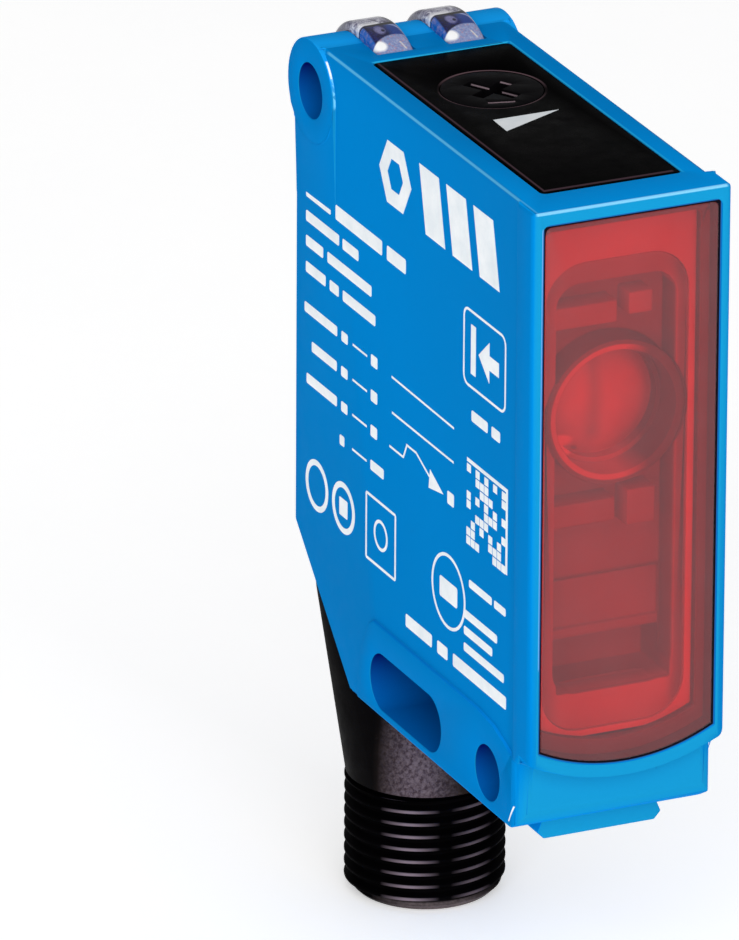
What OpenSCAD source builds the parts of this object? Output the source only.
// Compact photoelectric receiver: a flat die-cast housing with a tall front
// window, a control panel with a sensitivity adjuster, two indicator light
// guides and a swivelling M12 connector.
// Frame: origin at the centre of the upper mounting hole, at mid width.
// +X is the width, -Y is the optical side, +Z is up. Millimetres.

/* [Housing] */
// Overall width, across the bezel and the mounting pads
housing_w = 15.6; // [15.4:0.1:16.4]
// Width of the body between the raised pads
body_w = 15.0; // [14.8:0.1:15.2]
// Height of the top face above the upper mounting hole
top_z = 3.77; // [3.7:0.01:3.9]
// Depth of the underside below the upper mounting hole
bottom_depth = 44.53; // [44.3:0.01:45]
// Distance from the upper mounting hole to the front of the bezel
front_reach = 38.25; // [38:0.05:38.6]
// Distance from the upper mounting hole to the rear face
rear_reach = 3.35; // [3.2:0.05:3.6]
// Thickness of the bezel plate around the window
bezel_t = 2.7; // [2.5:0.1:2.9]
// Depth from the bezel front to the front of the mounting lug
lug_setback = 1.7; // [1.5:0.1:2]
// Radius of the curved lower edge of the bezel
bezel_arc_r = 16.2; // [16:0.1:16.6]
// Wall thickness at the sides of the housing
side_wall = 1.2; // [1.1:0.05:1.4]

/* [Mounting] */
// Diameter of both round mounting holes
hole_d = 4.2; // [4:0.1:4.4]
// Radius of the round boss at the upper mounting hole
boss_r = 3.95; // [3.9:0.05:4.2]
// Distance from the upper hole forward to the lower hole
lower_hole_reach = 31.29; // [31:0.01:31.6]
// Distance from the upper hole down to the lower hole and the slot
lower_hole_drop = 41.66; // [41.4:0.01:41.8]
// Overall length of the mounting slot
slot_l = 12.4; // [11.4:0.1:12.6]
// Width of the mounting slot
slot_w = 4.4; // [4.2:0.1:4.6]
// Height of the dovetail rail under the housing
dovetail_h = 1.9; // [1.7:0.05:2]

/* [Window and panel] */
// Half width of the front window
window_hw = 6.8; // [6.6:0.05:6.9]
// Thickness of the front window
window_t = 1.5; // [1.3:0.1:1.6]
// Width of the seam around the window, filled by its gasket
seam = 0.2; // [0.15:0.01:0.25]
// Half width of the control panel cover
panel_hw = 5.45; // [5.3:0.05:5.5]
// Thickness of the control panel cover
panel_t = 1.0; // [0.8:0.1:1.2]

/* [Adjuster] */
// Radius of the sensitivity knob
knob_r = 3.75; // [3.5:0.05:3.8]
// Sideways position of the knob
knob_x = 0.2; // [0:0.05:0.3]
// Position of the knob behind the bezel front
knob_back = 24.15; // [23.5:0.05:24.5]

/* [Connector] */
// Major radius of the connector thread
thread_r = 6.0; // [5.9:0.05:6.0]
// Length of the threaded barrel below the elbow
thread_l = 9.33; // [9:0.01:10]
// Radius of the round flange of the elbow
flange_r = 7.3; // [7:0.05:7.4]
// Radius of the contact pins
pin_r = 0.5; // [0.45:0.01:0.5]

/* [Hidden] */
$fn = 64;

e = 0.01;
hw = housing_w / 2;
bhw = body_w / 2;
fy = -front_reach;
ry = rear_reach;
bz = -bottom_depth;
by = fy + bezel_t;              // back of the bezel plate
ly = fy + lug_setback;          // front of the mounting lug
hole_r = hole_d / 2;
arc_z = -24.23;                 // centre height of the bezel's lower arc
chw = bhw - side_wall;          // half width of the cavity
seal_y = fy + 1.6;              // ledge that the window sits on
carrier_y = fy + 2.55;          // front face of the optics carrier
panel_y0 = fy + 3.55;
panel_y1 = fy + 32.5;
panel_z = top_z - 0.05;         // top face of the panel cover
ledge_z = top_z - 1.45;         // ledge that the panel gasket sits on
cav_z = top_z - 2.25;           // roof of the cavity
floor_z = bz + 6.43;            // floor of the cavity
knob_y = fy + knob_back;
lens_z = -13.3;
// swivel joint: centre of the flange face on the 45 degree corner
sw_y = -1.65;
sw_z = -39.35;
cut_c = sw_y - sw_z;            // y - z on the 45 degree face
shaft_r = 5.15;
bore_r = 5.2;
m12_y = -3.95;                  // axis of the threaded barrel
ring_z = -53.23;                // top of the threaded barrel
tip_z = ring_z - thread_l;
guide_x = 2.85;                 // light guides, either side of the middle
guide_w = 3.0;
guide_r = 4.62;                 // light guides behind their crown, about the boss
guide_rf = 6.49;                // light guides in front of their crown
guide_t = 24.08;                // where one meets the other, behind the vertical

BLUE = [0.02, 0.48, 0.77];
BLACK = [0.04, 0.04, 0.045];
PCB = [0.05, 0.32, 0.14];

// ---------- helpers ----------
// extrudes a shape drawn as [y, z] across the width
module across(w) { rotate([90, 0, 90]) linear_extrude(w, center = true) children(); }
// extrudes a shape drawn as [x, z] from y0 to y1
module along_y(y0, y1) { translate([0, y1, 0]) rotate([90, 0, 0]) linear_extrude(y1 - y0) children(); }
// a box between two corners
module box(a, b) { translate(a) cube([b[0] - a[0], b[1] - a[1], b[2] - a[2]]); }
// cylinder along X, Y
module cyl_x(r, l, y = 0, z = 0) { translate([-l / 2, y, z]) rotate([0, 90, 0]) cylinder(r = r, h = l); }
module cyl_y(r, y0, y1, x = 0, z = 0) { translate([x, y0, z]) rotate([-90, 0, 0]) cylinder(r = r, h = y1 - y0); }
// removes a corner edge so that a round of radius r is left; the edge runs
// along +Z from the origin and the material is towards +X +Y
module edge_round(r, l) {
    translate([0, 0, -e]) difference() {
        translate([-0.6, -0.6, 0]) cube([r + 0.6, r + 0.6, l + 2 * e]);
        translate([r, r, -1]) cylinder(r = r, h = l + 3);
    }
}
// same, for an edge along Y from y0 to y1, at (x, z); sx, sz point into the material
module edge_y(r, y0, y1, x, z, sx, sz) {
    translate([x, y1, z]) rotate([90, 0, 0]) scale1(sx, sz) edge_round(r, y1 - y0);
}
// same, for an edge along X across the width, at (y, z)
module edge_x(r, w, y, z, sy, sz) {
    translate([-w / 2, y, z]) rotate([90, 0, 90]) scale1(sy, sz) edge_round(r, w);
}
// same, for an edge along Z from z0 to z1, at (x, y)
module edge_z(r, z0, z1, x, y, sx, sy) {
    translate([x, y, z0]) scale1(sx, sy) edge_round(r, z1 - z0);
}
module scale1(a, b) {
    if (a > 0 && b > 0) children();
    if (a < 0 && b > 0) mirror([1, 0, 0]) children();
    if (a > 0 && b < 0) mirror([0, 1, 0]) children();
    if (a < 0 && b < 0) mirror([1, 0, 0]) mirror([0, 1, 0]) children();
}
// rectangle with round corners, between two corners
module rrect(a, b, r) {
    translate([a[0] + r, a[1]]) square([b[0] - a[0] - 2 * r, b[1] - a[1]]);
    translate([a[0], a[1] + r]) square([b[0] - a[0], b[1] - a[1] - 2 * r]);
    for (x = [a[0] + r, b[0] - r], y = [a[1] + r, b[1] - r]) translate([x, y]) circle(r);
}
// frame of the swivel joint: local +Z leaves the 45 degree face
module swivel() { translate([0, sw_y, sw_z]) rotate([-135, 0, 0]) children(); }
// outline of the window and everything concentric with it, drawn as [x, z]
module window_outline(w, top, r) {
    rc = 0.5;
    translate([-w, arc_z]) square([2 * w, top - rc - arc_z]);
    translate([-w + rc, arc_z]) square([2 * w - 2 * rc, top - arc_z]);
    for (s = [-1, 1]) translate([s * (w - rc), top - rc]) circle(rc);
    intersection() {
        translate([-w, arc_z - r - 1]) square([2 * w, r + 1 + e]);
        translate([0, arc_z]) circle(r);
    }
}
// round wire through points
module wire(p, r) {
    for (i = [0 : len(p) - 2]) {
        d = p[i + 1] - p[i];
        l = norm(d);
        translate(p[i]) rotate([0, acos(d[2] / l), atan2(d[1], d[0])]) cylinder(r = r, h = l, $fn = 24);
    }
    for (i = [1 : len(p) - 2]) translate(p[i]) sphere(r = r * 1.08, $fn = 24);
}

// ---------- housing ----------
// outer block: plan view and side view extruded and intersected
module housing_block() {
    intersection() {
        translate([0, 0, bz - 1]) linear_extrude(top_z - bz + 2) polygon([
            [-hw, fy], [hw, fy], [hw, by - 0.1], [bhw, by + 0.6],
            [bhw, ry - 0.4], [bhw - 0.4, ry], [-bhw + 0.4, ry], [-bhw, ry - 0.4],
            [-bhw, by + 0.6], [-hw, by - 0.1]]);
        across(housing_w + 2) polygon([[fy, top_z], [0.9, top_z], [ry, 1.9],
            [ry, ry - cut_c + 0.02], [bz + cut_c - 0.02, bz], [fy, bz]]);
    }
}
// raised faces that carry the clamping load, on both sides
module pads() {
    cyl_x(boss_r, housing_w);
    // strip under the boss that runs out into the side face
    for (s = [-1, 1]) along_y(-boss_r, ry - 0.4) polygon([
        [s * (bhw - 1), 0], [s * hw, 0], [s * (bhw - 0.02), -9.5], [s * (bhw - 1), -9.5]]);
    across(housing_w) polygon([[ly, bz], [ly, bz + 5.2], [fy + 4.4, bz + 6.25],
        [fy + 6.2, bz + 6.85], [fy + 9, bz + 7.15], [-11.4, bz + 7.15], [-10.6, bz + 6.7],
        [-10.1, bz + 5.7], [-9.1, bz + 3.7], [-8.7, bz + 1.6], [-8.7, bz]]);
}
module dovetail_rail() {
    along_y(fy + 4.4, -9.4) polygon([[-4.38, bz + e], [-4.93, bz - 1.3], [-4.4, bz - dovetail_h],
        [4.4, bz - dovetail_h], [4.93, bz - 1.3], [4.38, bz + e]]);
}
// the space under the bezel's curved edge, with a hollow blend at its root
module lug_recess() {
    rc = 0.7;
    intersection() {
        translate([0, 0, arc_z]) rotate([90, 0, 0]) rotate_extrude($fn = 128) difference() {
            translate([bezel_arc_r, -ly]) square([20, 6]);
            difference() {
                translate([bezel_arc_r - 1, -ly - 1]) square([rc + 1, rc + 1]);
                translate([bezel_arc_r + rc, -ly + rc]) circle(rc);
            }
        }
        box([-hw - 1, fy - 1, bz - 1], [hw + 1, ly + e, arc_z - 11.5]);
    }
}
// round at the lower corners of the bezel, between its side and its arc
module bezel_corner(s, r) {
    cx = hw - r;
    cz = arc_z - sqrt(pow(bezel_arc_r - r, 2) - cx * cx);
    k = bezel_arc_r / (bezel_arc_r - r);
    along_y(fy - 1, ly + 0.02) difference() {
        translate([s > 0 ? cx * k : -hw - 1, cz - 2]) square([hw + 1 - cx * k, 2]);
        translate([s * cx, cz]) circle(r);
    }
}
module cavity() {
    // main space
    across(2 * chw) polygon([[seal_y + 0.7, cav_z], [-5.6, cav_z], [-5.6, -1.2],
        [-3.9, -1.2], [-3.9, -6], [ry - 1.45, -6], [ry - 1.45, ry - 1.45 - cut_c + 3.13],
        [floor_z + cut_c - 3.13, floor_z], [seal_y + 0.7, floor_z]]);
    // opening through the ledge behind the window
    along_y(seal_y - e, seal_y + 0.71) window_outline(6.1, cav_z, -floor_z + arc_z);
    // pocket for the swivel's retaining ring, and its bore
    swivel() translate([0, 0, -6]) cylinder(r = 6.2, h = 3.8);
    swivel() translate([0, 0, -6]) cylinder(r = bore_r, h = 8);
}
// sector about an X axis through (y, z), from angle a in front of the vertical to b behind it
module sector(y, z, a, b) {
    translate([0, y, z]) rotate([0, 90, 0]) rotate([0, 0, 180 - b])
        rotate_extrude(angle = b - a, $fn = 96) children();
}
// centre of the flatter front arc of the light guides
gcy = (guide_r - guide_rf) * sin(guide_t);
gcz = (guide_r - guide_rf) * cos(guide_t);
module light_guide_groove(w) {
    for (s = [-1, 1]) translate([s * guide_x, 0, 0]) {
        sector(gcy, gcz, -44.4, guide_t + 0.1) translate([guide_rf - 0.96, -w / 2]) square([1.0, w]);
        sector(0, 0, guide_t, 58.3) translate([guide_r - 0.98, -w / 2]) square([4, w]);
    }
}
module housing() {
    color(BLUE) difference() {
        union() {
            difference() {
                housing_block();
                lug_recess();
                bezel_corner(1, 1.0);
                bezel_corner(-1, 0.4);
                // edges of the bezel plate
                edge_z(0.6, bz + 5, top_z, -hw, fy, 1, 1);
                edge_z(0.5, bz + 5, top_z, hw, fy, -1, 1);
                edge_x(0.25, housing_w + 2, fy, top_z, 1, -1);
                edge_y(0.3, fy - 1, by + 0.05, -hw, top_z, 1, -1);
                edge_y(0.4, fy - 1, by + 0.05, hw, top_z, -1, -1);
                // long top edges of the body
                edge_y(0.3, by + 0.3, -1.5, -bhw, top_z, 1, -1);
                edge_y(0.8, by + 0.2, -1.5, bhw, top_z, -1, -1);
            }
            pads();
            dovetail_rail();
        }
        // edges of the mounting lug
        edge_x(2.0, housing_w + 2, ly, bz, 1, 1);
        edge_y(0.35, ly - 1, -7.4, -hw, bz, 1, 1);
        edge_y(1.4, ly - 1, -7.4, hw, bz, -1, 1);
        edge_z(1.2, bz - 1, arc_z - 14.75, -hw, ly, 1, 1);
        edge_z(1.2, bz - 1, arc_z - 15.0, hw, ly, -1, 1);
        // mounting holes and slot
        cyl_x(hole_r, housing_w + 2);
        cyl_x(hole_r, housing_w + 2, -lower_hole_reach, -lower_hole_drop);
        for (s = [-1, 1]) cyl_x(slot_w / 2, housing_w + 2,
            -17.15 + s * (slot_l - slot_w) / 2, -lower_hole_drop);
        box([-hw - 1, -17.15 - (slot_l - slot_w) / 2, -lower_hole_drop - slot_w / 2],
            [hw + 1, -17.15 + (slot_l - slot_w) / 2, -lower_hole_drop + slot_w / 2]);
        // seat of the window
        along_y(fy - 1, seal_y) window_outline(window_hw + seam, 2.55 + seam, 15.0 + seam);
        // seat of the control panel, and the opening under it
        translate([0, 0, ledge_z]) linear_extrude(5)
            rrect([-panel_hw - 0.05, panel_y0 - 0.05], [panel_hw + 0.05, panel_y1 + 0.05], 0.45);
        box([-4.6, panel_y0 + 0.9, cav_z - 1], [4.6, panel_y1 - 0.9, ledge_z + 1]);
        // seats of the light guides
        light_guide_groove(guide_w + 0.04);
        for (s = [-1, 1]) box([s * guide_x - 1.22, -5.02, -2], [s * guide_x + 1.22, -3.98, 2.95]);
        cavity();
    }
}

// ---------- window, panel, seals ----------
module front_window() {
    color([0.75, 0.12, 0.12, 0.6]) along_y(fy + 0.1, seal_y) window_outline(window_hw, 2.55, 15.0);
}
module window_gasket() {
    color(BLACK) along_y(fy + 0.12, seal_y) difference() {
        window_outline(window_hw + seam, 2.55 + seam, 15.0 + seam);
        window_outline(window_hw, 2.55, 15.0);
    }
}
module control_panel_cover() {
    color(BLACK) difference() {
        translate([0, 0, panel_z - panel_t]) linear_extrude(panel_t)
            rrect([-panel_hw, panel_y0], [panel_hw, panel_y1], 0.4);
        translate([knob_x, knob_y, 0]) cylinder(r = knob_r + 0.06, h = 9);
        edge_y(0.15, panel_y0 - 1, panel_y1 + 1, -panel_hw, panel_z, 1, -1);
        edge_x(0.15, housing_w, panel_y0, panel_z, 1, -1);
    }
}
module panel_gasket() {
    color([0.1, 0.1, 0.1]) translate([0, 0, ledge_z]) linear_extrude(panel_z - panel_t - ledge_z) difference() {
        rrect([-panel_hw, panel_y0], [panel_hw, panel_y1], 0.4);
        rrect([-4.6, panel_y0 + 0.9], [4.6, panel_y1 - 0.9], 0.4);
    }
}
module adjuster_bush() {
    color([0.15, 0.15, 0.16]) translate([knob_x, knob_y, 0]) difference() {
        translate([0, 0, 0.4]) cylinder(r = 4.3, h = panel_z - panel_t - 0.4);
        translate([0, 0, 2.2]) cylinder(r = knob_r + 0.06, h = 2);
        cylinder(r = 1.65, h = 4);
    }
}
// band of clear plastic over the boss, with a leg down to its light source
// cross-section of a light guide, drawn as [radius, x], w wide and t thick under its crown
module guide_section(r, w, t) {
    c = 0.5;
    polygon(concat([[r - t, -w / 2], [r - t, w / 2]],
        [for (a = [0 : 15 : 90]) [r - c + c * sin(a), w / 2 - c + c * cos(a)]],
        [for (a = [90 : -15 : 0]) [r - c + c * sin(a), -w / 2 + c - c * cos(a)]]));
}
module light_guide(s) {
    color([0.85, 0.87, 0.95, 0.5]) {
        translate([s * guide_x, 0, 0]) {
            sector(gcy, gcz, -44, guide_t + 0.2) guide_section(guide_rf - 0.02, guide_w - 0.05, 0.89);
            sector(0, 0, guide_t, 58) guide_section(guide_r, guide_w, 0.92);
        }
        box([s * guide_x - 1.2, -5.0, -1.9], [s * guide_x + 1.2, -4.0, 2.9]);
    }
}
module led_light_guide_left() { light_guide(-1); }
module led_light_guide_right() { light_guide(1); }
module led(x) { box([x - 0.8, -5.0, -2.6], [x + 0.8, -4.2, -1.95]); }
module green_led() { color([0.2, 0.8, 0.3]) led(-guide_x); }
module yellow_led() { color([0.95, 0.8, 0.15]) led(guide_x); }

// ---------- optics ----------
// pale plate around the carrier, against the back of the window's ledge
module light_frame() {
    color([0.8, 0.75, 0.75]) along_y(fy + 2.45, fy + 3.2) difference() {
        rrect([-chw + 0.05, -37.95], [chw - 0.05, cav_z - 0.05], 0.5);
        rrect([-5.65, -37.5], [5.65, -1.45], 3.05);
    }
}
module optics_carrier() {
    color([0.3, 0.12, 0.12]) difference() {
        union() {
            difference() {
                along_y(carrier_y, fy + 14.05) rrect([-5.6, -37.45], [5.6, -1.5], 3.0);
                // tray behind the rim
                along_y(carrier_y - 1, carrier_y + 2.2) rrect([-4.7, -34.6], [4.7, -3.1], 1.8);
            }
            // hood around the lens, nearest the window
            cyl_y(5.5, carrier_y - 0.1, carrier_y + 3, 0, lens_z);
            // pads above and below the hood
            box([-4.75, carrier_y + 0.3, -6.6], [0.2, carrier_y + 3, -4.9]);
            box([1.1, carrier_y + 0.3, -6.2], [3.0, carrier_y + 3, -4.5]);
            box([-4.75, carrier_y + 0.3, -21.8], [0.2, carrier_y + 3, -20.0]);
            box([1.1, carrier_y + 0.3, -22.4], [3.4, carrier_y + 3, -19.6]);
        }
        cyl_y(4.7, carrier_y - 1, fy + 6.75, 0, lens_z);
        cyl_y(3.9, carrier_y, fy + 12.65, 0, lens_z);
        cyl_y(1.5, carrier_y, fy + 15, 0, lens_z);
        box([-1.8, fy + 12.95, lens_z - 1.8], [1.8, fy + 15, lens_z + 1.8]);
        // blind lower compartments, open to the front
        box([-4.4, carrier_y - 1, -34.5], [4.6, fy + 7.5, -31.2]);
        box([-4.6, carrier_y - 1, -30.4], [4.6, carrier_y + 2.5, -26.6]);
        // pilot holes
        for (s = [-1, 1]) cyl_y(0.62, fy + 11, fy + 15, s * 4.7, -23);
        // relief behind the lower compartment
        box([-4.8, fy + 9.5, -36.5], [4.8, fy + 15, -26]);
    }
}
module receiver_lens() {
    rs = 7.68;
    color([0.9, 0.9, 0.95, 0.5]) {
        cyl_y(4.65, fy + 5.75, fy + 6.75, 0, lens_z);
        intersection() {
            translate([0, fy + 4.5 + rs, lens_z]) sphere(r = rs, $fn = 128);
            cyl_y(4.2, fy + 4, fy + 5.8, 0, lens_z);
        }
    }
}
module lens_retaining_ring() {
    color([0.12, 0.12, 0.12]) difference() {
        cyl_y(4.67, fy + 4.85, fy + 5.75, 0, lens_z);
        cyl_y(4.3, fy + 4, fy + 6, 0, lens_z);
    }
}
module aperture_plate() {
    color([0.1, 0.1, 0.1]) difference() {
        cyl_y(3.87, fy + 12.35, fy + 12.65, 0, lens_z);
        cyl_y(0.9, fy + 12, fy + 13, 0, lens_z);
    }
}
module photodiode() {
    color([0.15, 0.1, 0.2]) box([-1.5, fy + 13.05, lens_z - 1.5], [1.5, fy + 14.05, lens_z + 1.5]);
}

// ---------- boards and what is on them ----------
module receiver_board() {
    color(PCB) difference() {
        box([-5.8, fy + 14.05, -25.5], [5.8, fy + 14.85, -5]);
        for (s = [-1, 1]) cyl_y(0.85, fy + 13, fy + 16, s * 4.7, -23);
    }
}
module main_board() {
    color(PCB) translate([-3.7, 0, 0]) across(1) polygon([[-22.3, -4.6], [-4.6, -4.6],
        [-4.6, -6.6], [1.4, -6.6], [1.4, 1.4 - 31], [-37.6 + 31, -37.6], [-22.3, -37.6]]);
}
module indicator_board() {
    color(PCB) box([-5.4, -22, -3.4], [5.4, -4.2, -2.6]);
}
module connector_board() {
    color(PCB) swivel() box([-3.2, -2.6, -8.85], [3.2, 2.6, -8.05]);
}
module board_header() {
    color([0.08, 0.08, 0.08]) box([-3.2, -18.5, -6.4], [-1.2, -10, -3.4]);
}
module flex_link() {
    color([0.75, 0.5, 0.15]) {
        box([-3.2, fy + 14.85, -20], [-3.0, -19.5, -14]);
        box([-3.0, fy + 14.85, -20], [-1.5, fy + 15.05, -19]);
    }
}
module shield_can() {
    color([0.75, 0.76, 0.78]) difference() {
        box([-1.2, fy + 14.85, lens_z - 4.5], [5, fy + 17.1, lens_z + 4.5]);
        box([-1.0, fy + 14, lens_z - 4.3], [4.8, fy + 16.9, lens_z + 4.3]);
    }
}
module amplifier_chip() {
    color(BLACK) box([0.2, fy + 14.85, lens_z - 1.5], [3.2, fy + 15.85, lens_z + 1.5]);
}
module logic_chip() {
    color(BLACK) box([-3.2, -16.5, -18.5], [-2.2, -9.5, -11.5]);
}
module output_driver_chip() {
    color(BLACK) box([-3.2, -7, -17], [-1.8, -2, -11]);
}
module capacitors() {
    color([0.72, 0.55, 0.2]) {
        for (y = [-20.5, -16.5, -12.5]) box([-3.2, y, -26], [-1.4, y + 2.2, -22.5]);
        translate([-3.2, -4.5, -22.5]) rotate([0, 90, 0]) cylinder(r = 2, h = 5.2);
    }
}
module protection_diodes() {
    color([0.1, 0.1, 0.1]) for (z = [-31.5, -34.5]) box([-3.2, -19, z], [-2.1, -15, z + 1.8]);
}
module trimmer_body() {
    color([0.85, 0.85, 0.8]) translate([knob_x, knob_y, 0]) difference() {
        box([-2.6, -2.6, -2.6], [2.6, 2.6, -0.5]);
        translate([0, 0, -1.6]) cylinder(r = 1.95, h = 4);
    }
}
module board_screws() {
    color([0.7, 0.7, 0.72]) for (s = [-1, 1]) difference() {
        union() {
            cyl_y(0.6, fy + 11.5, fy + 15, s * 4.7, -23);
            cyl_y(1.3, fy + 14.85, fy + 15.85, s * 4.7, -23);
        }
        box([s * 4.7 - 0.2, fy + 15.4, -24.4], [s * 4.7 + 0.2, fy + 16, -21.6]);
    }
}

// ---------- swivelling connector ----------
module connector_elbow() {
    color([0.09, 0.07, 0.06]) difference() {
        union() {
            hull() {
                swivel() translate([0, 0, 0.05]) cylinder(r = flange_r, h = 0.9, $fn = 48);
                translate([0, m12_y, ring_z]) cylinder(r = thread_r - 0.05, h = 0.6, $fn = 48);
            }
            swivel() translate([0, 0, -4]) cylinder(r = shaft_r, h = 4.5);
        }
        translate([0, m12_y, ring_z - 1]) cylinder(r = 4.6, h = 4.05);
        wire([[0, m12_y, -51], [0, -1.9, -40.5]], 3.5);
        swivel() translate([0, 0, -5]) cylinder(r = 3.9, h = 6.5);
        // grooves for the seal and the retaining ring
        swivel() translate([0, 0, -1.7]) difference() {
            cylinder(r = 6, h = 1.2);
            translate([0, 0, -1]) cylinder(r = 4.55, h = 4);
        }
        swivel() translate([0, 0, -3.1]) difference() {
            cylinder(r = 6, h = 0.8);
            translate([0, 0, -1]) cylinder(r = 4.7, h = 4);
        }
    }
}
module threaded_barrel() {
    color(BLACK) translate([0, m12_y, 0]) difference() {
        union() {
            translate([0, 0, tip_z + 0.9]) cylinder(r = thread_r, h = thread_l - 0.9);
            translate([0, 0, tip_z]) rotate_extrude() polygon([[0, 0], [thread_r - 0.9, 0],
                [thread_r, 0.9], [0, 0.9]]);
            translate([0, 0, ring_z - 1]) cylinder(r = 4.57, h = 4);
        }
        translate([0, 0, tip_z - 1]) cylinder(r = 4.35, h = 30);
    }
}
module contact_carrier() {
    color([0.06, 0.06, 0.06]) translate([0, m12_y, 0]) difference() {
        union() {
            translate([0, 0, -56]) cylinder(r = 4.33, h = 4);
            // coding key on the wall of the cavity
            rotate([0, 0, 45]) box([3.7, -0.45, tip_z + 0.8], [4.3, 0.45, -55.5]);
        }
        for (a = [0 : 90 : 270]) rotate([0, 0, a]) translate([3.53, 0, -60]) cylinder(r = pin_r, h = 12, $fn = 32);
    }
}
module contact_pins() {
    color([0.85, 0.68, 0.3]) translate([0, m12_y, 0])
        for (a = [0 : 90 : 270]) rotate([0, 0, a]) {
            translate([3.53, 0, tip_z + 1.7]) cylinder(r = pin_r, h = 9.1, $fn = 32);
            translate([3.53, 0, tip_z + 1.3]) cylinder(r1 = pin_r - 0.25, r2 = pin_r, h = 0.4, $fn = 32);
        }
}
module connector_leads() {
    color([0.35, 0.2, 0.1]) for (a = [0 : 90 : 270]) {
        c = cos(a);
        s = sin(a);
        n = 0.70711;
        wire([
            [3.53 * c, m12_y + 3.53 * s, tip_z + 10.8],
            [3.53 * c, m12_y + 3.53 * s, tip_z + 11.4],
            [2.2 * c, m12_y + 0.2 + 2.2 * s, -49.2],
            [1.2 * c, -2.8 + 1.2 * s, -45],
            [1.1 * c, sw_y + n * 1.1 * s, sw_z + n * 1.1 * s],
            [1.1 * c, sw_y - n * (8.02 - 1.1 * s), sw_z + n * (8.02 + 1.1 * s)]], 0.42);
    }
}
module swivel_o_ring() {
    color(BLACK) swivel() translate([0, 0, -1.1]) rotate_extrude() translate([4.87, 0]) circle(0.3, $fn = 24);
}
module swivel_retaining_ring() {
    color([0.6, 0.6, 0.62]) swivel() translate([0, 0, -3.05]) difference() {
        cylinder(r = 5.9, h = 0.7);
        translate([0, 0, -1]) cylinder(r = 4.72, h = 3);
        box([-1.2, 0, -1], [1.2, 8, 3]);
    }
}

// ---------- sensitivity adjuster ----------
module sensitivity_knob() {
    color([0.03, 0.03, 0.03]) translate([knob_x, knob_y, 0]) difference() {
        union() {
            translate([0, 0, 2.25]) cylinder(r = knob_r, h = panel_z - 2.25);
            translate([0, 0, -0.55]) cylinder(r = 1.6, h = 3);
            box([-1.2, -0.25, -0.95], [1.2, 0.25, -0.5]);
        }
        // seal groove
        translate([0, 0, 0.9]) difference() {
            cylinder(r = 3, h = 0.8);
            translate([0, 0, -1]) cylinder(r = 1.2, h = 3);
        }
        // crossed screwdriver slots, and a short line that shows the setting
        rotate([0, 0, -60]) box([-2.2, -0.5, panel_z - 0.8], [2.2, 0.5, panel_z + 1]);
        rotate([0, 0, 30]) box([-1.8, -0.5, panel_z - 0.8], [1.8, 0.5, panel_z + 1]);
        rotate([0, 0, -15]) box([-0.7, -2.72, panel_z - 0.2], [1.2, -2.52, panel_z + 1]);
    }
}
module knob_o_ring() {
    color([0.1, 0.1, 0.1]) translate([knob_x, knob_y, 1.3]) rotate_extrude() translate([1.42, 0]) circle(0.2, $fn = 24);
}
module trimmer_rotor() {
    color([0.9, 0.9, 0.9]) translate([knob_x, knob_y, 0]) difference() {
        translate([0, 0, -1.55]) cylinder(r = 1.88, h = 0.97);
        box([-1.3, -0.3, -1.0], [1.3, 0.3, 1]);
    }
}

housing();
front_window();
window_gasket();
control_panel_cover();
panel_gasket();
adjuster_bush();
led_light_guide_left();
led_light_guide_right();
green_led();
yellow_led();
light_frame();
optics_carrier();
receiver_lens();
lens_retaining_ring();
aperture_plate();
photodiode();
receiver_board();
main_board();
indicator_board();
connector_board();
board_header();
flex_link();
shield_can();
amplifier_chip();
logic_chip();
output_driver_chip();
capacitors();
protection_diodes();
trimmer_body();
board_screws();
connector_elbow();
threaded_barrel();
contact_carrier();
contact_pins();
connector_leads();
swivel_o_ring();
swivel_retaining_ring();
sensitivity_knob();
knob_o_ring();
trimmer_rotor();
